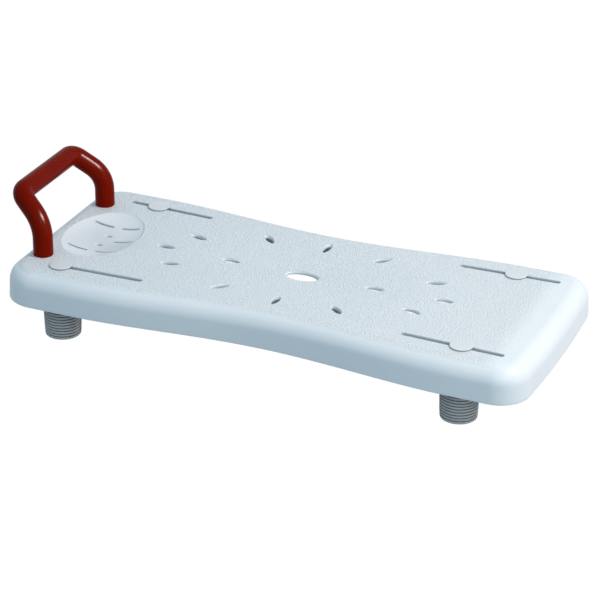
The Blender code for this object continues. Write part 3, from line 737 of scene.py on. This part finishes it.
def sleeve_radius(height):
    """The sleeve's radius at a height above the floor, over the crests of its ribs."""
    bottom = SLEEVE_BOTTOM_DIAMETER / 2
    low = SLEEVE_LOW_DIAMETER / 2
    top = SLEEVE_TOP_DIAMETER / 2
    if height < SLEEVE_LOW_HEIGHT:
        return bottom + (low - bottom) * height / SLEEVE_LOW_HEIGHT
    rise = SEAT_HEIGHT - SKIRT_DEPTH - SLEEVE_LOW_HEIGHT
    return low + (top - low) * min((height - SLEEVE_LOW_HEIGHT) / rise, 1)


def make_sleeve(name):
    """The rubber sleeve, with rounded ribs between narrow grooves."""
    bore = HUB_DIAMETER / 2 + GAP
    pad_top = -SEAT_HEIGHT + PAD_THICKNESS
    top = sleeve_radius(SEAT_HEIGHT)
    rows = [(0, pad_top), (bore, pad_top), (bore, SLEEVE_TOP), (top - GAP, SLEEVE_TOP)]
    for count in range(GROOVE_COUNT * GROOVE_STEPS, -1, -1):
        height = RIB_PITCH / 2 + count * RIB_PITCH / GROOVE_STEPS
        swing = (count % GROOVE_STEPS) / GROOVE_STEPS - 0.5
        groove = math.exp(-2 * (swing / GROOVE_SHARE) ** 2) if count else 0
        rows.append((sleeve_radius(height) - GROOVE_DEPTH * groove, height - SEAT_HEIGHT))
    base = sleeve_radius(0)
    for angle in arc(0, math.pi / 2, SLEEVE_EDGE_STEPS):
        radius = base - SLEEVE_EDGE + SLEEVE_EDGE * math.cos(angle)
        rows.append((radius, SLEEVE_EDGE * (1 - math.sin(angle)) - SEAT_HEIGHT))
    rows.append((0, -SEAT_HEIGHT))
    return turned("sleeve_%s_skin" % name, rows, SLEEVE_STEPS, pieces)


def stop_place(name):
    """Where a stop stands on the board, and the direction of its slot."""
    for slot, yaw, x, y, length in slot_places():
        if slot == name:
            return STOP_X[name], y + (STOP_X[name] - x) * math.tan(yaw), yaw


# Materials


class Finish:
    """A material's node tree, with short ways to add nodes and join them."""

    def __init__(self, name):
        self.material = bpy.data.materials.new(name)
        self.material.use_nodes = True
        self.tree = self.material.node_tree
        self.shader = self.tree.nodes["Principled BSDF"]
        coordinates = self.add("TexCoord")
        self.place = coordinates.outputs["Object"]
        self.facing = coordinates.outputs["Normal"]

    def add(self, kind, **settings):
        node = self.tree.nodes.new("ShaderNode" + kind)
        for key, value in settings.items():
            setattr(node, key, value)
        return node

    def join(self, source, target):
        self.tree.links.new(source, target)

    def maths(self, operation, first, second=None):
        node = self.add("Math", operation=operation)
        for socket, value in zip(node.inputs, (first, second)):
            if value is None:
                continue
            if isinstance(value, (int, float)):
                socket.default_value = value
            else:
                self.join(value, socket)
        return node.outputs[0]

    def noise(self, scale, detail, roughness, stretch=(1, 1, 1)):
        """Clouds or fine grain between 0 and 1, about as many to the metre as the scale says."""
        mapping = self.add("Mapping")
        mapping.inputs["Scale"].default_value = stretch
        self.join(self.place, mapping.inputs["Vector"])
        node = self.add("TexNoise")
        node.inputs["Scale"].default_value = scale
        node.inputs["Detail"].default_value = detail
        node.inputs["Roughness"].default_value = roughness
        self.join(mapping.outputs["Vector"], node.inputs["Vector"])
        return node.outputs["Fac"]

    def cells(self, scale, smoothness):
        """Pebbles, as many to the metre as the scale says: 0 in the middle of each."""
        node = self.add("TexVoronoi", feature="SMOOTH_F1")
        node.inputs["Scale"].default_value = scale
        node.inputs["Smoothness"].default_value = smoothness
        self.join(self.place, node.inputs["Vector"])
        return node.outputs["Distance"]

    def spread(self, value, low, high, to_low, to_high):
        """Carries a value smoothly from one range over to another, and holds it at both ends."""
        node = self.add("MapRange", interpolation_type="SMOOTHSTEP")
        self.join(value, node.inputs["Value"])
        limits = {"From Min": low, "From Max": high, "To Min": to_low, "To Max": to_high}
        for key, number in limits.items():
            node.inputs[key].default_value = number
        return node.outputs["Result"]

    def tint(self, value, first, second, low=NOISE_LOW, high=NOISE_HIGH):
        """The first colour up to the low value, the second from the high one on."""
        ramp = self.add("ValToRGB")
        ramp.color_ramp.elements[0].position = low
        ramp.color_ramp.elements[0].color = (*first, 1)
        ramp.color_ramp.elements[1].position = high
        ramp.color_ramp.elements[1].color = (*second, 1)
        self.join(value, ramp.inputs["Fac"])
        return ramp.outputs["Color"]

    def mix(self, share, first, second):
        """The first colour where the share is 0, and the second where it is 1."""
        node = self.add("Mix", data_type="RGBA")
        self.join(share, node.inputs["Factor"])
        low, high = [socket for socket in node.inputs if socket.type == "RGBA"]
        self.join(first, low)
        high.default_value = (*second, 1)
        return [socket for socket in node.outputs if socket.type == "RGBA"][0]

    def colour(self, value):
        self.join(value, self.shader.inputs["Base Color"])

    def roughness(self, value):
        self.join(value, self.shader.inputs["Roughness"])

    def wear(self, noise, smooth, dull):
        """Roughness that wanders with a noise."""
        self.roughness(self.spread(noise, NOISE_LOW, NOISE_HIGH, smooth, dull))

    def bump(self, height, distance):
        node = self.add("Bump")
        node.inputs["Strength"].default_value = 1.0
        node.inputs["Distance"].default_value = distance
        self.join(height, node.inputs["Height"])
        self.join(node.outputs["Normal"], self.shader.inputs["Normal"])

    def part(self, vector, axis):
        """A vector's part along X, Y or Z."""
        node = self.add("SeparateXYZ")
        self.join(vector, node.inputs[0])
        return node.outputs[axis]

    def settings(self, values):
        for key, value in values.items():
            self.shader.inputs[key].default_value = value


def in_dish(finish):
    """1 inside the soap dish and 0 outside it."""
    along = finish.maths("SUBTRACT", finish.part(finish.place, "X"), DISH_X)
    along = finish.maths("DIVIDE", along, DISH_HALF_LENGTH)
    across = finish.maths("DIVIDE", finish.part(finish.place, "Y"), DISH_HALF_WIDTH)
    along = finish.maths("MULTIPLY", along, along)
    across = finish.maths("MULTIPLY", across, across)
    return finish.spread(finish.maths("ADD", along, across), *DISH_FADE, 1, 0)


def in_slots(finish):
    """1 on the walls of the four slots, just below the top, and 0 elsewhere: where shade is painted
    into the board's colour.
    """
    along = finish.maths("ABSOLUTE", finish.part(finish.place, "X"))
    along = finish.maths("SUBTRACT", along, SLOT_INNER_X)
    middle = finish.maths("MULTIPLY", along, math.tan(SLOT_YAW))
    middle = finish.maths("ADD", middle, HALF_WIDTH - SLOT_EDGE_DISTANCE)
    across = finish.maths("ABSOLUTE", finish.part(finish.place, "Y"))
    beside = finish.maths("ABSOLUTE", finish.maths("SUBTRACT", across, middle))
    near = finish.spread(beside, SLOT_WIDTH / 2 + 0.2 * MM, SLOT_WIDTH / 2 + SLOT_EASE, 1, 0)
    half_reach = (max(SLOT_OUTER_X.values()) - SLOT_INNER_X) / 2
    from_middle = finish.maths("ABSOLUTE", finish.maths("SUBTRACT", along, half_reach))
    within = finish.spread(from_middle, half_reach, half_reach + SLOT_EASE, 1, 0)
    below = finish.spread(finish.part(finish.place, "Z"), *SLOT_SHADE_Z, 1, 0)
    return finish.maths("MULTIPLY", finish.maths("MULTIPLY", near, below), within)


def on_grain(finish):
    """1 on the grained top, and 0 on its rounded edge and on the smooth strip at the right end."""
    flat = finish.spread(finish.part(finish.facing, "Z"), *FLAT_NORMAL_Z, 0, 1)
    inside = finish.spread(finish.part(finish.place, "X"), *GRAIN_FADE_X, 1, 0)
    return finish.maths("MULTIPLY", flat, inside)


def board_finish():
    """White moulded plastic: grained on the flat top, satin at the edge, glossy in the dish."""
    finish = Finish("board_plastic")
    dish = in_dish(finish)
    grained = finish.maths("MULTIPLY", on_grain(finish), finish.maths("SUBTRACT", 1, dish))
    pebbles = finish.maths("MULTIPLY", finish.cells(PEBBLES_PER_METRE, 0.3), PEBBLE_SHARE)
    fine = finish.maths("MULTIPLY", finish.noise(900, 3, 0.6), FINE_SHARE)
    waves = finish.maths("MULTIPLY", finish.noise(60, 3, 0.5), WAVE_SHARE)
    grain = finish.maths("MULTIPLY", finish.maths("ADD", pebbles, fine), grained)
    finish.bump(finish.maths("ADD", grain, waves), GRAIN_HEIGHT)
    clouds = finish.noise(9, 3, 0.6)
    plastic = finish.tint(clouds, BOARD_DEEP, BOARD_PALE)
    # Painted shade: the slots' walls darker just below the top
    finish.colour(finish.mix(in_slots(finish), plastic, SLOT_PAINTED_SHADE))
    polish = finish.maths("MULTIPLY", dish, DISH_POLISH)
    dulling = finish.maths("MULTIPLY", grained, GRAIN_DULLING)
    smooth = finish.maths("SUBTRACT", BOARD_ROUGHNESS, polish)
    finish.roughness(finish.maths("ADD", smooth, dulling))
    finish.settings({"Specular IOR Level": 0.45})
    return finish.material


def handle_finish():
    """Dark red moulded plastic with a soft gloss."""
    finish = Finish("handle_plastic")
    clouds = finish.noise(14, 3, 0.6)
    finish.colour(finish.tint(clouds, HANDLE_DEEP, HANDLE_RED))
    finish.wear(finish.noise(30, 2, 0.5), *HANDLE_ROUGHNESS)
    finish.settings({"Specular IOR Level": 0.03})
    return finish.material


def cap_finish():
    """White plastic, smooth with a faint moulded texture, with painted shade at the foot of its
    rim.
    """
    finish = Finish("cap_plastic")
    clouds = finish.noise(40, 3, 0.6)
    plastic = finish.tint(clouds, CAP_DEEP, CAP_PALE)
    # Painted shade: the rim darker towards its foot, all round
    low = finish.spread(finish.part(finish.place, "Z"), *RIM_SHADE_Z, 1, 0)
    finish.colour(finish.mix(low, plastic, RIM_PAINTED_SHADE))
    finish.wear(finish.noise(500, 2, 0.5), *CAP_ROUGHNESS)
    finish.bump(finish.noise(700, 2, 0.5), 0.04 * MM)
    return finish.material


def rubber_finish():
    """Grey rubber, dull, with painted shade in its grooves."""
    finish = Finish("sleeve_rubber")
    ribs = finish.maths("SUBTRACT", finish.part(finish.place, "Z"), RIB_PITCH / 2 - SEAT_HEIGHT)
    ribs = finish.maths("FRACT", finish.maths("DIVIDE", ribs, RIB_PITCH))
    from_groove = finish.maths("ABSOLUTE", finish.maths("SUBTRACT", ribs, 0.5))
    clouds = finish.maths("MULTIPLY", finish.noise(70, 4, 0.6), 0.2)
    # Painted shade: near black in the grooves, the rubber's grey on the crests, with random tone
    # from clouds
    crest_share = finish.maths("ADD", finish.spread(from_groove, *GROOVE_EDGE, *RIB_SHADE_RANGE), clouds)
    finish.colour(finish.tint(crest_share, RUBBER_GROOVE_SHADE, RUBBER_CREST, *GROOVE_SHADE_LIMITS))
    finish.wear(finish.noise(300, 3, 0.5), *RUBBER_ROUGHNESS)
    finish.bump(finish.noise(1400, 3, 0.6), 0.08 * MM)
    return finish.material


def core_finish():
    """White moulded plastic of the stops' inner parts."""
    finish = Finish("core_plastic")
    finish.colour(finish.tint(finish.noise(50, 3, 0.6), CORE_DEEP, CORE_PALE))
    finish.wear(finish.noise(400, 2, 0.5), *CORE_ROUGHNESS)
    finish.bump(finish.noise(600, 2, 0.5), 0.05 * MM)
    return finish.material


def steel_finish(name, stretch):
    """Steel with fine marks left by turning or rolling."""
    finish = Finish(name)
    marks = finish.noise(900, 3, 0.7, stretch)
    finish.colour(finish.tint(marks, STEEL_DEEP, STEEL_PALE))
    finish.wear(marks, *STEEL_ROUGHNESS)
    finish.bump(marks, 0.02 * MM)
    finish.settings({"Metallic": 1.0})
    return finish.material


# Light and camera


def add_lamp(name, spot, target, size, power, colour):
    """A square soft light that points at a target."""
    data = bpy.data.lights.new(name, "AREA")
    data.shape = "SQUARE"
    data.size = size
    data.energy = power
    data.color = colour
    lamp = new_object(name, data, bpy.context.scene.collection)
    lamp.location = spot
    lamp.rotation_euler = (Vector(target) - Vector(spot)).to_track_quat("-Z", "Y").to_euler()
    return lamp


def seen_directly(tree):
    """1 for what the camera, a gloss or a clear material sees, and 0 for light on the bench."""
    rays = tree.nodes.new("ShaderNodeLightPath")
    seen = rays.outputs["Is Camera Ray"]
    for kind in ("Is Glossy Ray", "Is Transmission Ray"):
        either = tree.nodes.new("ShaderNodeMath")
        either.operation = "MAXIMUM"
        tree.links.new(seen, either.inputs[0])
        tree.links.new(rays.outputs[kind], either.inputs[1])
        seen = either.outputs[0]
    return seen


def blend(tree, share, first, second):
    """The first shader where the share is 0, and the second where it is 1."""
    node = tree.nodes.new("ShaderNodeMixShader")
    for source, target in zip((share, first, second), node.inputs):
        tree.links.new(source, target)
    return node.outputs[0]


def light_scene(glossy):
    """Soft studio light, with a glint that only the glossy pieces show."""
    add_lamp("key", (1.65, 0.1, 2.1), (0.1, 0, 0.05), size=0.32, power=34, colour=KEY_COLOUR)
    add_lamp("front", (1.75, -1.75, 1.6), (0, 0, 0.08), size=0.8, power=14, colour=FRONT_COLOUR)
    add_lamp("side", (2.6, -0.4, 0.3), (0.3, 0, 0.07), size=0.6, power=6, colour=SIDE_COLOUR)
    glint = add_lamp(
        "glint", (1.9, 0.1, 1.85), (-0.33, 0, 0.14), size=0.85, power=600, colour=GLINT_COLOUR
    )
    glint.visible_diffuse = False
    glint.light_linking.receiver_collection = glossy
    world = bpy.data.worlds.new("studio")
    bpy.context.scene.world = world
    world.use_nodes = True
    tree = world.node_tree
    fill = tree.nodes["Background"]
    fill.inputs["Color"].default_value = (*FILL_COLOUR, 1)
    fill.inputs["Strength"].default_value = FILL_STRENGTH
    white = tree.nodes.new("ShaderNodeBackground")
    white.inputs["Color"].default_value = (1, 1, 1, 1)
    surface = blend(tree, seen_directly(tree), fill.outputs[0], white.outputs[0])
    tree.links.new(surface, tree.nodes["World Output"].inputs["Surface"])


def floor_finish():
    """White to the eye with a share of what falls on it, darker to the bench, clear from below."""
    made = bpy.data.materials.new("floor_white")
    made.use_nodes = True
    tree = made.node_tree
    plain = tree.nodes["Principled BSDF"]
    plain.inputs["Base Color"].default_value = (*FLOOR_COLOUR, 1)
    plain.inputs["Roughness"].default_value = 0.8
    plain.inputs["Specular IOR Level"].default_value = 0.1
    glow = tree.nodes.new("ShaderNodeEmission")
    glow.inputs["Strength"].default_value = FLOOR_GLOW
    share = tree.nodes.new("ShaderNodeMath")
    share.operation = "MULTIPLY"
    share.inputs[1].default_value = FLOOR_GLOW_SHARE
    tree.links.new(seen_directly(tree), share.inputs[0])
    top = blend(tree, share.outputs[0], plain.outputs[0], glow.outputs[0])
    side = tree.nodes.new("ShaderNodeNewGeometry")
    clear = tree.nodes.new("ShaderNodeBsdfTransparent")
    surface = blend(tree, side.outputs["Backfacing"], top, clear.outputs[0])
    tree.links.new(surface, tree.nodes["Material Output"].inputs["Surface"])
    return made


def add_floor():
    """A white floor that keeps a faint shadow of the bench."""
    work = bmesh.new()
    bmesh.ops.create_grid(work, x_segments=2, y_segments=2, size=FLOOR_HALF_SIZE)
    mesh = bpy.data.meshes.new("floor")
    work.to_mesh(mesh)
    work.free()
    mesh.materials.append(floor_finish())
    floor = new_object("floor", mesh, bpy.context.scene.collection)
    floor.location.z = -GAP


def add_camera():
    """The photograph's camera: a long lens that looks down on the bench from its front right."""
    data = bpy.data.cameras.new("camera")
    data.sensor_fit = "VERTICAL"
    data.sensor_height = SENSOR
    data.lens = FOCAL_PIXELS / IMAGE_HEIGHT * SENSOR
    data.clip_end = CAMERA_REACH
    camera = new_object("camera", data, bpy.context.scene.collection)
    turn = Matrix.Rotation(CAMERA_AZIMUTH, 4, "Z")
    tilt = Matrix.Rotation(math.pi / 2 - CAMERA_ELEVATION, 4, "X")
    roll = Matrix.Rotation(CAMERA_ROLL, 4, "Z")
    camera.matrix_world = Matrix.Translation(CENTRE + CAMERA_PLACE) @ turn @ tilt @ roll
    bpy.context.scene.camera = camera


# Building the bench


def dress(piece, body, node, material):
    """Gives a new piece its material and its body, and hides the node that it stands for."""
    piece.data.materials.clear()
    piece.data.materials.append(material)
    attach(piece, body)
    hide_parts(node)


def recolour(node, material):
    """Gives a carried-over node its finished material."""
    mesh = frame["nodes"][node].data
    mesh.materials.clear()
    mesh.materials.append(material)


dress(make_board(), "board", "board", board_finish())
dress(make_handle(), "board", "handle", handle_finish())

white_cap = cap_finish()
grey_rubber = rubber_finish()
white_core = core_finish()
turned_steel = steel_finish("turned_steel", (0.2, 0.2, 4))
plated_steel = steel_finish("plated_steel", (1, 1, 1))
for stop in STOP_X:
    x, y, yaw = stop_place(stop)
    cap = place(make_cap(stop), x, y, 0, yaw)
    dress(cap, "stop_" + stop, "cap_" + stop, white_cap)
    sleeve = place(make_sleeve(stop), x, y, 0, yaw)
    dress(sleeve, "foot_" + stop, "sleeve_" + stop, grey_rubber)
    recolour("stud_" + stop, turned_steel)
    recolour("clamp_washer_" + stop, plated_steel)
    recolour("core_" + stop, white_core)
    recolour("nut_" + stop, plated_steel)
for side in ("front", "back"):
    recolour("handle_washer_" + side, plated_steel)
    recolour("handle_screw_" + side, turned_steel)

add_floor()
light_scene(glossy_pieces)
add_camera()
bpy.context.scene.view_settings.view_transform = "Standard"
